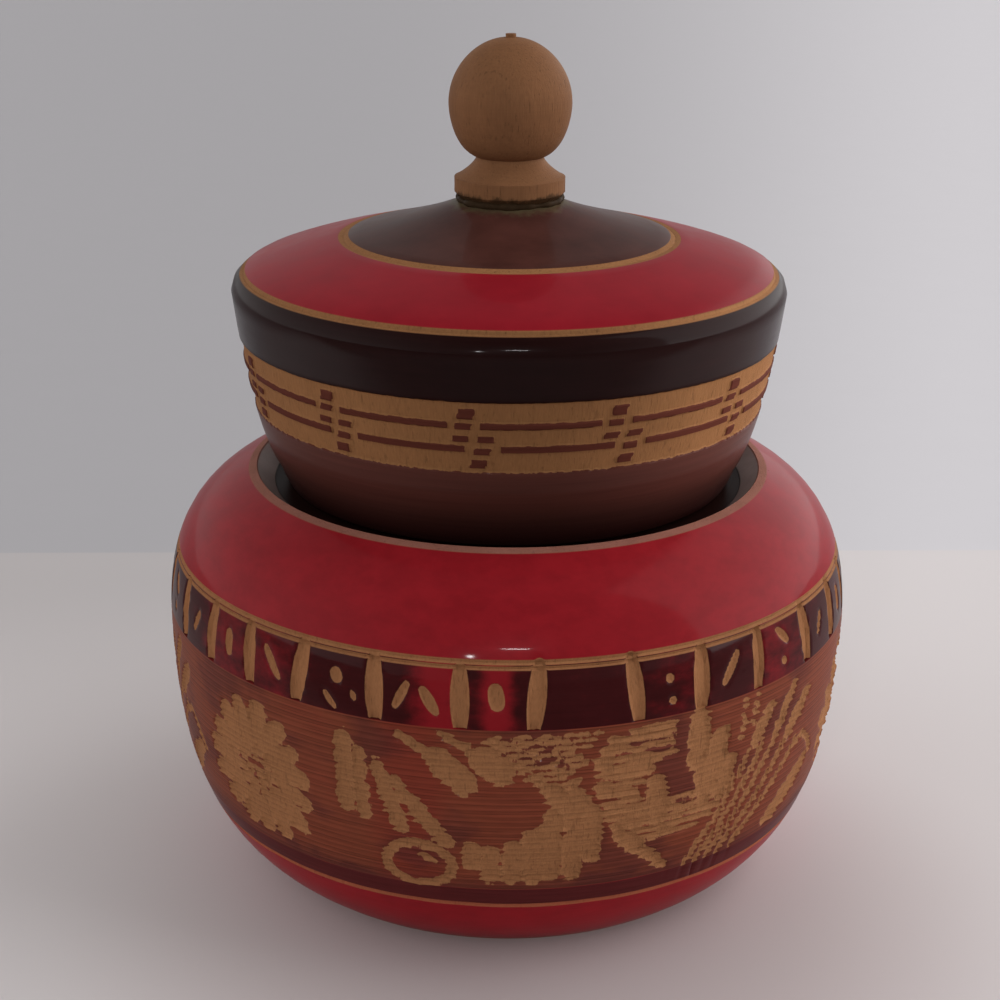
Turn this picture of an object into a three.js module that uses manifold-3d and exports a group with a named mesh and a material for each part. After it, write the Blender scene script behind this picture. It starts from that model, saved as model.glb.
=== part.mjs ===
// A turned wooden box in three pieces: a round-bellied bowl, a lid that drops into its mouth, and a
// bare finial knob glued into the lid's crown. Millimetres, +Z up, origin under the middle of the foot.
import * as THREE from "three";
import { mergeVertices } from "three/addons/utils/BufferGeometryUtils.js";
import Module from "manifold-3d";

const wasm = await Module();
wasm.setup();

// Bowl, outside
const footRadius = 46;
const footRecessRadius = 36;
const footRecessSlope = 2;
const footRecessDepth = 1.2;
const bellyRadius = 62.5;
const bellyHeight = 46;
const mouthRadius = 47.1;
const mouthHeight = 72.9;
const lipWidth = 1.2;
const lipRise = 0.4;

// Bowl, inside: a bevel falls from the lip to a flat ledge, and the bore drops from the ledge
const ledgeRadius = 42.5;
const ledgeDepth = 3;
const boreRadius = 37;
const boreLength = 7.5;
const bowlWall = 7;
const bowlFloor = 9;
const bowlFloorRadius = 26;

// Lid: its underside sits on the ledge, and its spigot hangs in the bore
const seatGap = 0.3;
const spigotClearance = 0.3;
const spigotWall = 4.1;
const spigotLength = 5;
const lidFootRadius = 41.3;
const lidFootRise = 3.7;
const underEdgeWidth = 2.8;
const lidSideHeight = 32.7;
const rimRadius = 49.2;
const rimRoundWidth = 3.7;
const rimRoundRise = 3.1;
const crownRise = 10.8;
const lidWall = 8.4;
const lidHollowHeight = 22;
const webUnderMortise = 4;

// Frieze of interlocking hooks, sunk round the lid's side so that the hooks stand proud of its floor
const friezeRise = 15.2;
const friezeHeight = 12.3;
const friezeDepth = 0.55;
const keyCount = 12;
const keyLineInset = 3.5;
const keyLineWidth = 1.2;
const keyBarShare = 0.08;
const keyTipGapShare = 0.035;
const keySpacingShare = 0.055;
const keyLeadShare = 0.225;

// Thin V lines of bare wood scribed between the colours
const scribeWidth = 1.1;
const scribeDepth = 0.35;
const rimLineRise = 2;
const crownLineShare = 0.44;
const shoulderLineRise = 14.1;
const doubleLineSpacing = 1.3;
const baseLineHeight = 14;

// Upright gouge cuts round the shoulder, in groups of a long cut, a dot and a long cut
const notchGroups = 15;
const notchDrop = 4.9;
const notchWidth = 3;
const notchLength = 9.6;
const dotWidth = 2.4;
const dotLength = 3.8;
const notchDepth = 0.8;
const notchSpreadShare = 0.24;

// Knob, turned by itself: a tenon for the crown's mortise, a flange, a neck and a ball with a pip
const mortiseRadius = 4.6;
const mortiseDepth = 8;
const glueGap = 0.3;
const knobFootRadius = 8.5;
const knobSeatMargin = 0.6;
const flangeRadius = 9.7;
const flangeBevelRise = 1.3;
const flangeEdge = 2.5;
const neckRadius = 5.9;
const neckRise = 3.5;
const ballRadius = 10.7;
const ballUnderRise = 9.2;
const ballTopRise = 11;
const pipRadius = 0.9;
const pipRise = 0.6;

// Places that follow from the sizes above
const lipHeight = mouthHeight + lipRise;
const ledgeHeight = lipHeight - ledgeDepth;
const lidBase = ledgeHeight + seatGap;
const rimHeight = lidBase + lidFootRise + lidSideHeight;
const crownEdgeHeight = rimHeight + rimRoundRise;
const knobSeatHeight = crownEdgeHeight + crownRise;
const knobBase = knobSeatHeight + glueGap;
const spigotRadius = boreRadius - spigotClearance;
const notchHeight = bellyHeight + shoulderLineRise - doubleLineSpacing - notchDrop;
const front = -Math.PI / 2;

// How finely round forms are divided
const turns = 48;
const knobTurns = 32;
const curveSteps = 7;
const hollowSteps = 5;
const friezeSteps = 3;
const notchSteps = 4;
const cutOverrun = 2;

// Shares of a curve's own width and height at which its two handles lie
const footToBellyShares = [0.573, 0.148, 1, 0.362];
const bellyToMouthShares = [0, 0.578, 0.322, 0.83];
const boreToWallShares = [0.6, 0.16, 1, 0.385];
const wallToFloorShares = [0, 0.64, 0.254, 1];
const underEdgeShares = [0.6, 0.05, 1, 0.5];
const lidSideShares = [0.523, 0.158, 0.836, 0.654];
const rimRoundShares = [0, 0, 0.586, 0.851];
const crownShares = [0.256, 0.344, 0.726, 0.578];
const hollowTopShares = [0.62, 0, 1, 0.36];
const hollowSideShares = [0, 0.4, 0.7, 0.75];
const flangeToNeckShares = [0.235, 0.077, 1, 0.7];
const neckToBallShares = [0.842, 0.162, 1, 0.808];
const ballTopShares = [0, 0.544, 0.489, 0.98];

// Goes on from the path's last point along a curve to a radius and a height
function curveTo(path, radius, height, shares) {
  const from = path.currentPoint.clone();
  const across = radius - from.x;
  const up = height - from.y;
  path.bezierCurveTo(
    from.x + shares[0] * across, from.y + shares[1] * up,
    from.x + shares[2] * across, from.y + shares[3] * up,
    radius, height,
  );
}

// A solid from a geometry, with the vertices joined that repeat along its seams
function toSolid(geometry) {
  geometry.deleteAttribute("normal");
  geometry.deleteAttribute("uv");
  const merged = mergeVertices(geometry);
  const triangles = [];
  for (let i = 0; i < merged.index.count; i += 3) {
    const triangle = [0, 1, 2].map((corner) => merged.index.getX(i + corner));
    if (new Set(triangle).size === 3) triangles.push(...triangle);
  }
  return new wasm.Manifold(new wasm.Mesh({
    numProp: 3,
    vertProperties: new Float32Array(merged.attributes.position.array),
    triVerts: new Uint32Array(triangles),
  }));
}

// Turns an outline of radii (x) and heights (y), listed anticlockwise, round the Z axis
function turn(outline, segments) {
  return toSolid(new THREE.LatheGeometry(outline, segments).rotateX(Math.PI / 2));
}

// The radius of an outside at a height
function radiusAt(outside, height) {
  const end = Math.max(1, outside.findIndex((point) => point.y >= height));
  const [below, above] = [outside[end - 1], outside[end]];
  return THREE.MathUtils.mapLinear(height, below.y, above.y, below.x, above.x);
}

// An outside with a V cut into it at a height, square to the surface there
function scribe(outside, height) {
  const end = outside.findIndex((point) => point.y >= height);
  const middle = new THREE.Vector2(radiusAt(outside, height), height);
  const along = outside[end].clone().sub(outside[end - 1]).normalize();
  const inward = new THREE.Vector2(-along.y, along.x).multiplyScalar(scribeDepth);
  const half = along.multiplyScalar(scribeWidth / 2);
  const line = [middle.clone().sub(half), middle.clone().add(inward), middle.clone().add(half)];
  const isClear = (point) => point.distanceTo(middle) > scribeWidth / 2;
  return [...outside.slice(0, end).filter(isClear), ...line, ...outside.slice(end).filter(isClear)];
}

function bowlOutside() {
  const path = new THREE.Path();
  path.moveTo(footRadius, 0);
  curveTo(path, bellyRadius, bellyHeight, footToBellyShares);
  curveTo(path, mouthRadius, mouthHeight, bellyToMouthShares);
  path.lineTo(mouthRadius - lipWidth, lipHeight);
  const shoulderLine = bellyHeight + shoulderLineRise;
  const lines = [baseLineHeight, shoulderLine - doubleLineSpacing, shoulderLine];
  return lines.reduce(scribe, path.getPoints(curveSteps));
}

function bowlInside() {
  const floor = footRecessDepth + bowlFloor;
  const path = new THREE.Path();
  path.moveTo(ledgeRadius, ledgeHeight);
  path.lineTo(boreRadius, ledgeHeight);
  path.lineTo(boreRadius, ledgeHeight - boreLength);
  curveTo(path, bellyRadius - bowlWall, bellyHeight, boreToWallShares);
  curveTo(path, bowlFloorRadius, floor, wallToFloorShares);
  path.lineTo(0, floor);
  return path.getPoints(hollowSteps);
}

function footRecess() {
  const path = new THREE.Path();
  path.moveTo(0, footRecessDepth);
  path.lineTo(footRecessRadius - footRecessSlope, footRecessDepth);
  path.lineTo(footRecessRadius, 0);
  return path.getPoints();
}

// A gouge cut with a V section and pointed ends, leaning with the side it is cut into
function notchCutter(outside, angle, width, length) {
  const taper = radiusAt(outside, notchHeight + length / 2) - radiusAt(outside, notchHeight - length / 2);
  const lens = new THREE.SphereGeometry(1, 4, notchSteps).rotateX(Math.PI / 2);
  lens.scale(notchDepth, width / 2, length / 2);
  lens.rotateY(Math.atan2(taper, length));
  lens.translate(radiusAt(outside, notchHeight), 0, notchHeight);
  return toSolid(lens.rotateZ(angle));
}

function notchCutters(outside) {
  const groupAngle = (2 * Math.PI) / notchGroups;
  const spread = notchSpreadShare * groupAngle;
  const cutters = [];
  for (let group = 0; group < notchGroups; group += 1) {
    const middle = front + group * groupAngle;
    cutters.push(notchCutter(outside, middle - spread, notchWidth, notchLength));
    cutters.push(notchCutter(outside, middle, dotWidth, dotLength));
    cutters.push(notchCutter(outside, middle + spread, notchWidth, notchLength));
  }
  return wasm.Manifold.union(cutters);
}

function makeBowl() {
  const outside = bowlOutside();
  const body = turn([...footRecess(), ...outside, ...bowlInside()], turns);
  return body.subtract(notchCutters(outside));
}

function lidInside() {
  const path = new THREE.Path();
  path.moveTo(0, knobSeatHeight - mortiseDepth - webUnderMortise);
  curveTo(path, rimRadius - lidWall, lidBase + lidHollowHeight, hollowTopShares);
  curveTo(path, spigotRadius - spigotWall, lidBase - spigotLength, hollowSideShares);
  path.lineTo(spigotRadius, lidBase - spigotLength);
  path.lineTo(spigotRadius, lidBase);
  return path.getPoints(hollowSteps);
}

function lidOutside() {
  const path = new THREE.Path();
  path.moveTo(lidFootRadius - underEdgeWidth, lidBase);
  curveTo(path, lidFootRadius, lidBase + lidFootRise, underEdgeShares);
  curveTo(path, rimRadius, rimHeight, lidSideShares);
  curveTo(path, rimRadius - rimRoundWidth, crownEdgeHeight, rimRoundShares);
  curveTo(path, knobFootRadius + knobSeatMargin, knobSeatHeight, crownShares);
  const lines = [rimHeight + rimLineRise, crownEdgeHeight + crownLineShare * crownRise];
  return lines.reduce(scribe, path.getPoints(curveSteps));
}

function mortise() {
  const path = new THREE.Path();
  path.moveTo(mortiseRadius, knobSeatHeight);
  path.lineTo(mortiseRadius, knobSeatHeight - mortiseDepth);
  path.lineTo(0, knobSeatHeight - mortiseDepth);
  return path.getPoints();
}

// A solid drawn on the unrolled side, angle across and height up, then wrapped round the Z axis
function wrap(outline, innerRadius, outerRadius) {
  const shape = new THREE.Shape(outline.map(([angle, height]) => new THREE.Vector2(angle, height)));
  const depth = outerRadius - innerRadius;
  const geometry = new THREE.ExtrudeGeometry(shape, { depth, bevelEnabled: false });
  const position = geometry.attributes.position;
  for (let i = 0; i < position.count; i += 1) {
    const angle = position.getX(i);
    const radius = innerRadius + position.getZ(i);
    position.setXYZ(i, radius * Math.cos(angle), radius * Math.sin(angle), position.getY(i));
  }
  return toSolid(geometry);
}

// One repeat of the key: a bar rising from the lower edge with an arm to the right, and below the arm
// the same hook turned half round, its bar rising to the upper edge
function keyHooks(start) {
  const pitch = (2 * Math.PI) / keyCount;
  const bar = keyBarShare * pitch;
  const tipGap = keyTipGapShare * pitch;
  const end = start + (1 - keySpacingShare) * pitch;
  const bottom = lidBase + friezeRise - cutOverrun;
  const top = lidBase + friezeRise + friezeHeight + cutOverrun;
  const lowerLine = lidBase + friezeRise + keyLineInset;
  const upperLine = lidBase + friezeRise + friezeHeight - keyLineInset;
  const rising = [
    [start, bottom], [start + bar, bottom], [start + bar, upperLine - keyLineWidth],
    [end - bar - tipGap, upperLine - keyLineWidth], [end - bar - tipGap, upperLine], [start, upperLine],
  ];
  const hanging = [
    [end, top], [end - bar, top], [end - bar, lowerLine + keyLineWidth],
    [start + bar + tipGap, lowerLine + keyLineWidth], [start + bar + tipGap, lowerLine], [end, lowerLine],
  ];
  return [rising, hanging];
}

// What is cut away round the lid's side: a shallow ring, less the hooks
function friezeCutter(outside) {
  const bottom = lidBase + friezeRise;
  const outer = rimRadius + cutOverrun;
  const floor = [];
  for (let step = friezeSteps; step >= 0; step -= 1) {
    const height = bottom + (step * friezeHeight) / friezeSteps;
    floor.push(new THREE.Vector2(radiusAt(outside, height) - friezeDepth, height));
  }
  const corners = [new THREE.Vector2(outer, bottom), new THREE.Vector2(outer, bottom + friezeHeight)];
  const ring = turn([...corners, ...floor, corners[0].clone()], turns);
  const inner = radiusAt(outside, bottom) - friezeDepth - cutOverrun;
  const beyond = (outer + cutOverrun) / Math.cos(Math.PI / keyCount);
  const hooks = [];
  for (let key = 0; key < keyCount; key += 1) {
    for (const outline of keyHooks(front + ((key - keyLeadShare) * 2 * Math.PI) / keyCount)) {
      hooks.push(wrap(outline, inner, beyond));
    }
  }
  return ring.subtract(wasm.Manifold.union(hooks));
}

function makeLid() {
  const outside = lidOutside();
  const body = turn([...lidInside(), ...outside, ...mortise()], turns);
  return body.subtract(friezeCutter(outside));
}

function makeKnob() {
  const flangeTop = knobBase + flangeBevelRise + flangeEdge;
  const neckHeight = flangeTop + neckRise;
  const ballHeight = neckHeight + ballUnderRise;
  const path = new THREE.Path();
  path.moveTo(0, knobBase - mortiseDepth);
  path.lineTo(mortiseRadius - glueGap, knobBase - mortiseDepth);
  path.lineTo(mortiseRadius - glueGap, knobBase);
  path.lineTo(knobFootRadius, knobBase);
  path.lineTo(flangeRadius, knobBase + flangeBevelRise);
  path.lineTo(flangeRadius, flangeTop);
  curveTo(path, neckRadius, neckHeight, flangeToNeckShares);
  curveTo(path, ballRadius, ballHeight, neckToBallShares);
  curveTo(path, pipRadius, ballHeight + ballTopRise, ballTopShares);
  path.lineTo(pipRadius, ballHeight + ballTopRise + pipRise);
  path.lineTo(0, ballHeight + ballTopRise + pipRise);
  return turn(path.getPoints(curveSteps), knobTurns);
}

// Gives a solid flat-shaded faces, a surface and a name
function toMesh(name, solid, color, roughness) {
  const { vertProperties, triVerts } = solid.getMesh();
  const geometry = new THREE.BufferGeometry();
  geometry.setAttribute("position", new THREE.BufferAttribute(vertProperties, 3));
  geometry.setIndex(new THREE.BufferAttribute(triVerts, 1));
  geometry.computeVertexNormals();
  const material = new THREE.MeshStandardMaterial({ color, roughness, metalness: 0, flatShading: true });
  const mesh = new THREE.Mesh(geometry, material);
  mesh.name = name;
  return mesh;
}

const box = new THREE.Group();
const lidWithKnob = new THREE.Group();
lidWithKnob.add(toMesh("lid", makeLid(), 0x2c1a18, 0.35));
lidWithKnob.add(toMesh("knob", makeKnob(), 0xa9855c, 0.6));
box.add(toMesh("bowl", makeBowl(), 0x651420, 0.3));
box.add(lidWithKnob);

export default box;
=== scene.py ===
"""A turned wooden box: a round-bellied bowl with a carved belly, a lid with a key frieze, and a ball knob."""

import math

import bpy
import numpy as np
from bpy.props import FloatProperty, FloatVectorProperty, IntProperty, PointerProperty
from mathutils import Euler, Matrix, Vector


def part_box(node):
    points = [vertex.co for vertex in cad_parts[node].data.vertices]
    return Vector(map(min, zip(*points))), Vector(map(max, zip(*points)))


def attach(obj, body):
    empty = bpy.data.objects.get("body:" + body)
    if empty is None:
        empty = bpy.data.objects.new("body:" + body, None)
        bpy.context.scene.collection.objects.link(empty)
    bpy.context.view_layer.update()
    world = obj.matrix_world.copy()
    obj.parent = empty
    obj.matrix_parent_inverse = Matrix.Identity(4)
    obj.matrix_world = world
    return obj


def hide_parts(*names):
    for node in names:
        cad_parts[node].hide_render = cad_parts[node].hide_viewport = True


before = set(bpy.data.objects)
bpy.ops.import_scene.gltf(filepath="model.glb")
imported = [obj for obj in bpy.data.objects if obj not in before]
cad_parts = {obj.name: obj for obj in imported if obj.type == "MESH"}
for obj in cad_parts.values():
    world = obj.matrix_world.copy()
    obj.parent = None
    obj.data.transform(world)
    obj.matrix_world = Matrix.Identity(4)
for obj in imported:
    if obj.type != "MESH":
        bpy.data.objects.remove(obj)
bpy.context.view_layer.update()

bl_info = {
    "name": "Turned wooden box",
    "version": (1, 0, 0),
    "blender": (4, 5, 0),
    "location": "View3D > Sidebar > Box",
    "description": "Builds a lacquered turned box with a carved belly, a key frieze and a ball knob",
    "category": "Add Mesh",
}

MM = 0.001
BOWL_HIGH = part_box("bowl")[1]
LID_LOW, LID_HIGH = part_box("lid")
KNOB_LOW, KNOB_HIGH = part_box("knob")


def paint(red, green, blue):
    """A display colour from 0 to 255 as the linear colour that a material takes."""
    shares = (value / 255 for value in (red, green, blue))
    return tuple(s / 12.92 if s <= 0.04045 else ((s + 0.055) / 1.055) ** 2.4 for s in shares)


def add_object(name, data):
    piece = bpy.data.objects.new(name, data)
    bpy.context.scene.collection.objects.link(piece)
    return piece


def length_property(name, description, default):
    return FloatProperty(name=name, description=description, default=default, unit="LENGTH")


def colour_property(name, description, default):
    return FloatVectorProperty(
        name=name, description=description, default=default, size=3, min=0, max=1, subtype="COLOR")


def light_property(name, description, default):
    return FloatProperty(name=name, description=description, default=default)


# Bowl outline
BELLY_RADIUS = BOWL_HIGH.x
BELLY_HEIGHT = 46 * MM
LIP_HEIGHT = BOWL_HIGH.z
FOOT_RADIUS = 46 * MM
FOOT_RECESS_RADIUS = 36 * MM
FOOT_RECESS_SLOPE = 2 * MM
FOOT_RECESS_DEPTH = 1.2 * MM
MOUTH_RADIUS = 47.1 * MM
LIP_WIDTH = 1.2 * MM
LIP_RISE = 0.4 * MM
LEDGE_RADIUS = 42.5 * MM
LEDGE_HEIGHT = LIP_HEIGHT - 3 * MM
BORE_RADIUS = 37 * MM
BORE_LENGTH = 7.5 * MM
BOWL_WALL = 7 * MM
BOWL_FLOOR = 9 * MM
BOWL_FLOOR_RADIUS = 26 * MM
FOOT_TO_BELLY_SHARES = (0.573, 0.148, 1, 0.362)
BELLY_TO_MOUTH_SHARES = (0, 0.578, 0.322, 0.83)
BORE_TO_WALL_SHARES = (0.6, 0.16, 1, 0.385)
WALL_TO_FLOOR_SHARES = (0, 0.64, 0.254, 1)

# Heights on the bowl where one finish gives way to the next
BASE_LINE = (13.5 * MM, 14.4 * MM)
DARK_STRIP = (14.4 * MM, 17.9 * MM)
GROOVES = (17.9 * MM, 48.8 * MM)
NOTCH_BAND = (48.8 * MM, 58.5 * MM)
SHOULDER_LINES = ((58.5 * MM, 59.15 * MM), (59.3 * MM, 60.1 * MM))
MOUTH_LINE = 72.8 * MM

# Lid outline
RIM_RADIUS = LID_HIGH.x
KNOB_SEAT_HEIGHT = LID_HIGH.z
SPIGOT_LENGTH = 5 * MM
LID_BASE = LID_LOW.z + SPIGOT_LENGTH
SPIGOT_RADIUS = BORE_RADIUS - 0.3 * MM
SPIGOT_WALL = 4.1 * MM
LID_FOOT_RADIUS = 41.3 * MM
LID_FOOT_RISE = 3.7 * MM
UNDER_EDGE_WIDTH = 2.8 * MM
RIM_HEIGHT = 107 * MM
RIM_ROUND_WIDTH = 3.7 * MM
CROWN_EDGE_HEIGHT = 110.1 * MM
CROWN_END_RADIUS = 9.1 * MM
LID_WALL = 8.4 * MM
LID_HOLLOW_HEIGHT = 22 * MM
MORTISE_RADIUS = 4.6 * MM
MORTISE_DEPTH = 8 * MM
WEB_UNDER_MORTISE = 4 * MM
UNDER_EDGE_SHARES = (0.6, 0.05, 1, 0.5)
LID_SIDE_SHARES = (0.523, 0.158, 0.836, 0.654)
RIM_ROUND_SHARES = (0, 0, 0.586, 0.851)
CROWN_SHARES = (0.256, 0.344, 0.726, 0.578)
HOLLOW_TOP_SHARES = (0.62, 0, 1, 0.36)
HOLLOW_SIDE_SHARES = (0, 0.4, 0.7, 0.75)
FRIEZE = (85.8 * MM, 98.1 * MM)
RIM_LINE = (108.7 * MM, 109.5 * MM)
CROWN_RING = (28.4 * MM, 30.2 * MM)

# Knob outline
BALL_RADIUS = KNOB_HIGH.x
GLUE_GAP = 0.3 * MM
KNOB_BASE = KNOB_SEAT_HEIGHT + GLUE_GAP
KNOB_FOOT_RADIUS = 8.5 * MM
FLANGE_RADIUS = 9.7 * MM
FLANGE_BEVEL_RISE = 1.3 * MM
FLANGE_EDGE = 2.5 * MM
NECK_RADIUS = 5.9 * MM
NECK_RISE = 3.5 * MM
BALL_UNDER_RISE = 9.2 * MM
PIP_RADIUS = 0.9 * MM
PIP_RISE = 0.6 * MM
GLUE_PLACE = (8.9 * MM, KNOB_SEAT_HEIGHT + 0.3 * MM)
GLUE_SIZE = (0.75 * MM, 0.8 * MM)
FLANGE_TO_NECK_SHARES = (0.235, 0.077, 1, 0.7)
NECK_TO_BALL_SHARES = (0.842, 0.162, 1, 0.808)
BALL_TOP_SHARES = (0, 0.544, 0.489, 0.98)


class BowlSettings(bpy.types.PropertyGroup):
    columns: IntProperty(name="Columns", description="Divisions round the bowl", default=760, min=48)
    groove_pitch: length_property("Groove pitch", "Height from one tooled groove to the next", 1.1 * MM)
    groove_depth: length_property("Groove depth", "Depth of the tooled grooves", 0.08 * MM)
    carving_depth: length_property("Carving depth", "Depth of the gouge cuts on the belly", 0.5 * MM)
    notch_depth: length_property("Notch depth", "Depth of the upright cuts on the shoulder", 0.7 * MM)
    line_depth: length_property("Line depth", "Depth of the scribed bare lines", 0.3 * MM)
    red: colour_property("Red lacquer", "Lacquer of shoulder and foot", paint(130, 24, 31))
    dark: colour_property("Dark lacquer", "Lacquer of the notch band and strip", paint(52, 14, 15))
    brown: colour_property("Brown lacquer", "Lacquer between the carved motifs", paint(119, 60, 42))
    wood: colour_property("Bare wood", "Wood laid bare by the gouge", paint(148, 101, 68))


class LidSettings(bpy.types.PropertyGroup):
    columns: IntProperty(name="Columns", description="Divisions round the lid", default=800, min=48)
    hooks: IntProperty(name="Hooks", description="Repeats of the key round the lid", default=12, min=3)
    key_depth: length_property("Key depth", "Depth of the frieze floor below the hooks", 0.4 * MM)
    line_depth: length_property("Line depth", "Depth of the scribed bare lines", 0.3 * MM)
    red: colour_property("Red lacquer", "Lacquer of the crown's ring", paint(128, 22, 32))
    dark: colour_property("Dark lacquer", "Lacquer of the side", paint(31, 12, 11))
    brown: colour_property("Brown lacquer", "Lacquer of the crown's disc", paint(64, 36, 31))
    wood: colour_property("Bare wood", "Wood of the frieze floor and lines", paint(136, 94, 61))


class KnobSettings(bpy.types.PropertyGroup):
    columns: IntProperty(name="Columns", description="Divisions round the knob", default=144, min=24)
    wood: colour_property("Bare wood", "Wood of the knob", paint(119, 82, 56))
    glue: colour_property("Glue", "Glue squeezed out under the flange", paint(48, 35, 23))


class StageSettings(bpy.types.PropertyGroup):
    floor: colour_property("Floor", "Colour of the floor that the box stands on", paint(196, 190, 190))
    backdrop: colour_property("Backdrop", "Colour of what lies beyond the floor", paint(184, 181, 184))
    front_light: light_property("Front light", "Room light from the front and above", 0.16)
    left_light: light_property("Left light", "Room light added on the left", 1.7)
    right_light: light_property("Right light", "Room light added on the right", 1.0)
    wall_light: light_property("Wall light", "Light added by the pale wall on the right", 3.0)
    back_light: light_property("Back light", "Room light added behind", 0.35)


def operator_pair(operation):
    """Methods that add a Math node for an operator: the wire on its left, and the wire on its right."""
    return (lambda self, other: self.graph.math(operation, self, other),
            lambda self, other: self.graph.math(operation, other, self))


class Wire:
    """A socket that takes part in Python arithmetic."""

    __add__, __radd__ = operator_pair("ADD")
    __sub__, __rsub__ = operator_pair("SUBTRACT")
    __mul__, __rmul__ = operator_pair("MULTIPLY")
    __truediv__, __rtruediv__ = operator_pair("DIVIDE")

    def __init__(self, graph, socket):
        self.graph = graph
        self.socket = socket

    def __abs__(self):
        return self.graph.math("ABSOLUTE", self)

    def also(self, name):
        """Another output of the same node."""
        return Wire(self.graph, self.socket.node.outputs[name])


class Graph:
    """A node tree that is written as expressions."""

    def __init__(self, tree):
        self.tree = tree

    def feed(self, socket, value):
        """Links a wire to a socket, or sets a value on it."""
        if isinstance(value, Wire):
            self.tree.links.new(value.socket, socket)
        else:
            socket.default_value = value

    def add(self, kind, settings=None, inputs=None, output=0):
        """Adds a node: its settings first, then the values or links of its sockets."""
        node = self.tree.nodes.new(kind)
        for name, value in (settings or {}).items():
            setattr(node, name, value)
        for key, value in (inputs or {}).items():
            if isinstance(key, str):
                self.feed(next(s for s in node.inputs if s.enabled and s.name == key), value)
            else:
                self.feed(node.inputs[key], value)
        return Wire(self, node.outputs[output])

    def math(self, operation, *values):
        return self.add("ShaderNodeMath", {"operation": operation}, dict(enumerate(values)))

    def largest(self, first, *others):
        for other in others:
            first = self.math("MAXIMUM", first, other)
        return first

    def from_middle(self, value, period):
        """How far a value is from the nearest whole number of periods."""
        return abs(self.math("WRAP", value, period / 2, 0 - period / 2))

    def rise(self, value, low, high):
        """Climbs smoothly from 0 at low to 1 at high."""
        inputs = {"Value": value, "From Min": low, "From Max": high}
        return self.add("ShaderNodeMapRange", {"interpolation_type": "SMOOTHSTEP"}, inputs)

    def axes(self, vector):
        """The three numbers of a vector."""
        x = self.add("ShaderNodeSeparateXYZ", {}, {"Vector": vector})
        return x, x.also("Y"), x.also("Z")

    def noise(self, place, across, along, detail=3.0, roughness=0.5):
        """Noise from 0 to 1 with so many features a millimetre across the turning axis and along it."""
        x, y, z = place
        vector = self.add("ShaderNodeCombineXYZ", {}, {"X": x * across, "Y": y * across, "Z": z * along})
        inputs = {"Vector": vector, "Scale": 1.0, "Detail": detail, "Roughness": roughness}
        return self.add("ShaderNodeTexNoise", {}, inputs)


class Finish(Graph):
    """A material for one piece, worked out from the place on the piece in millimetres."""

    SOFT_EDGE = 0.07
    COAT_ROUGHNESS = 0.07
    SPECULAR_LEVEL = 0.02

    def __init__(self, name):
        self.material = bpy.data.materials.new(name)
        self.material.use_nodes = True
        super().__init__(self.material.node_tree)
        place = self.axes(self.add("ShaderNodeTexCoord", output="Object"))
        x, y, _ = self.place = tuple(axis / MM for axis in place)
        self.angle = self.math("ARCTAN2", x, 0 - y)
        self.radius = self.math("SQRT", x * x + y * y)

    def attribute(self, name):
        return self.add("ShaderNodeAttribute", {"attribute_name": name}, output="Fac")

    def cloudy(self, across, along, detail=3.0, roughness=0.5):
        """Noise over the piece."""
        return self.noise(self.place, across, along, detail, roughness)

    def band(self, value, low, high):
        """1 between two places in metres, with softened edges."""
        soft = self.SOFT_EDGE
        inner = self.rise(value, low / MM - soft, low / MM + soft)
        return inner * (1 - self.rise(value, high / MM - soft, high / MM + soft))

    def mix(self, share, colour, other):
        inputs = {"Factor": share, "A": colour, "B": other}
        for key in ("A", "B"):
            if not isinstance(inputs[key], Wire):
                inputs[key] = (*inputs[key], 1)
        return self.add("ShaderNodeMix", {"data_type": "RGBA"}, inputs, "Result")

    def layers(self, colour, *coats):
        """A colour with others laid over it in turn, each given as a share and a colour."""
        for share, coat in coats:
            colour = self.mix(share, colour, coat)
        return colour

    def blend(self, share, value, other):
        """Between two numbers."""
        return value + share * (other - value)

    def shade(self, colour, strength):
        """A colour made lighter or darker by a number near 1."""
        inputs = {0: colour if isinstance(colour, Wire) else tuple(colour), "Scale": strength}
        return self.add("ShaderNodeVectorMath", {"operation": "SCALE"}, inputs)

    def patches(self, places):
        """Soft spots round the piece, each given by its angle and half width in degrees and its strength."""
        total = 0
        for centre, half, strength in places:
            away = self.from_middle(self.angle - math.radians(centre), 2 * math.pi)
            total = total + strength * (1 - self.rise(away, 0, math.radians(half)))
        return total

    def wood(self, colour, along=0.16):
        """Bare wood whose fibres run along the turning axis, with so many features a millimetre along it."""
        fibre = self.cloudy(3.2, along, 4, 0.62)
        cloud = self.cloudy(0.12, 0.06, 2)
        pores = self.rise(self.cloudy(2.2, 0.35, 3, 0.6), 0.56, 0.72)
        strength = 0.62 + 0.5 * fibre + 0.28 * cloud - 0.24 * pores
        return self.shade(colour, strength), fibre - 0.5 * pores

    def finish(self, colour, roughness, height, coat=0.0):
        """Feeds the shader and gives the material."""
        bump = self.add("ShaderNodeBump", {}, {"Strength": 1.0, "Distance": MM, "Height": height})
        values = {"Base Color": colour, "Roughness": roughness, "Coat Weight": coat, "Normal": bump,
                  "Coat Roughness": self.COAT_ROUGHNESS, "Specular IOR Level": self.SPECULAR_LEVEL}
        for name, value in values.items():
            self.feed(self.tree.nodes["Principled BSDF"].inputs[name], value)
        return self.material


def geometry_tree(name, counts=(), sizes=()):
    """A new Geometry Nodes tree with named inputs besides its geometry and its material."""
    tree = bpy.data.node_groups.new(name, "GeometryNodeTree")
    kinds = {"Geometry": "Geometry", **dict.fromkeys(counts, "Int"), **dict.fromkeys(sizes, "Float"),
             "Material": "Material"}
    for label, kind in kinds.items():
        tree.interface.new_socket(label, in_out="INPUT", socket_type="NodeSocket" + kind)
    tree.interface.new_socket("Geometry", in_out="OUTPUT", socket_type="NodeSocketGeometry")
    graph = Graph(tree)
    return graph, graph.add("NodeGroupInput")


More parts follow.
